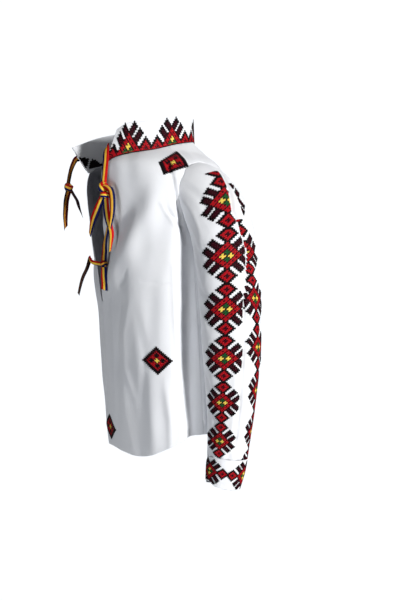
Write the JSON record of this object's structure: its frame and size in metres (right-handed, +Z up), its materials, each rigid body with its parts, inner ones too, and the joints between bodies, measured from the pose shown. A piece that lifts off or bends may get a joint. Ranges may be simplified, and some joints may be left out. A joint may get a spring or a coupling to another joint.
{
  "type": "folk shirt",
  "caption": "White long-sleeved folk shirt with a stand collar, an open neck slit tied with tricolour ribbons, and geometric cross-stitch bands down the sleeves.",
  "frame": {"origin": "inside the neck opening, level with the shoulders that hold the shirt up", "axes": "+Z up, the wearer faces -Y, the wearer's left arm is at +X"},
  "size_m": [0.516, 0.301, 0.6724],
  "materials": {
    "cotton": "matt plain-weave cotton",
    "ribbon": "satin ribbon in blue, yellow and red stripes",
    "stitch_black": "matt embroidery thread",
    "stitch_maroon": "matt embroidery thread",
    "stitch_red": "matt embroidery thread",
    "stitch_green": "matt embroidery thread",
    "stitch_yellow": "matt embroidery thread"
  },
  "bodies": {
    "root": {"front": "cotton", "back": "cotton", "left_sleeve": "cotton", "right_sleeve": "cotton", "left_cuff": "cotton", "right_cuff": "cotton", "collar": "cotton", "right_ribbon_strap": "ribbon", "right_ribbon_knot": "ribbon", "right_ribbon_tail_a": "ribbon", "right_ribbon_tail_b": "ribbon", "left_ribbon_strap": "ribbon", "left_ribbon_knot_upper": "ribbon", "left_ribbon_knot_lower": "ribbon", "left_ribbon_loop": "ribbon", "left_ribbon_tail_a": "ribbon", "left_ribbon_tail_b": "ribbon", "slit_ribbon_strap": "ribbon", "slit_ribbon_band": "ribbon", "slit_ribbon_knot": "ribbon", "slit_ribbon_tail_a": "ribbon", "slit_ribbon_tail_b": "ribbon"}
  },
  "joints": []
}
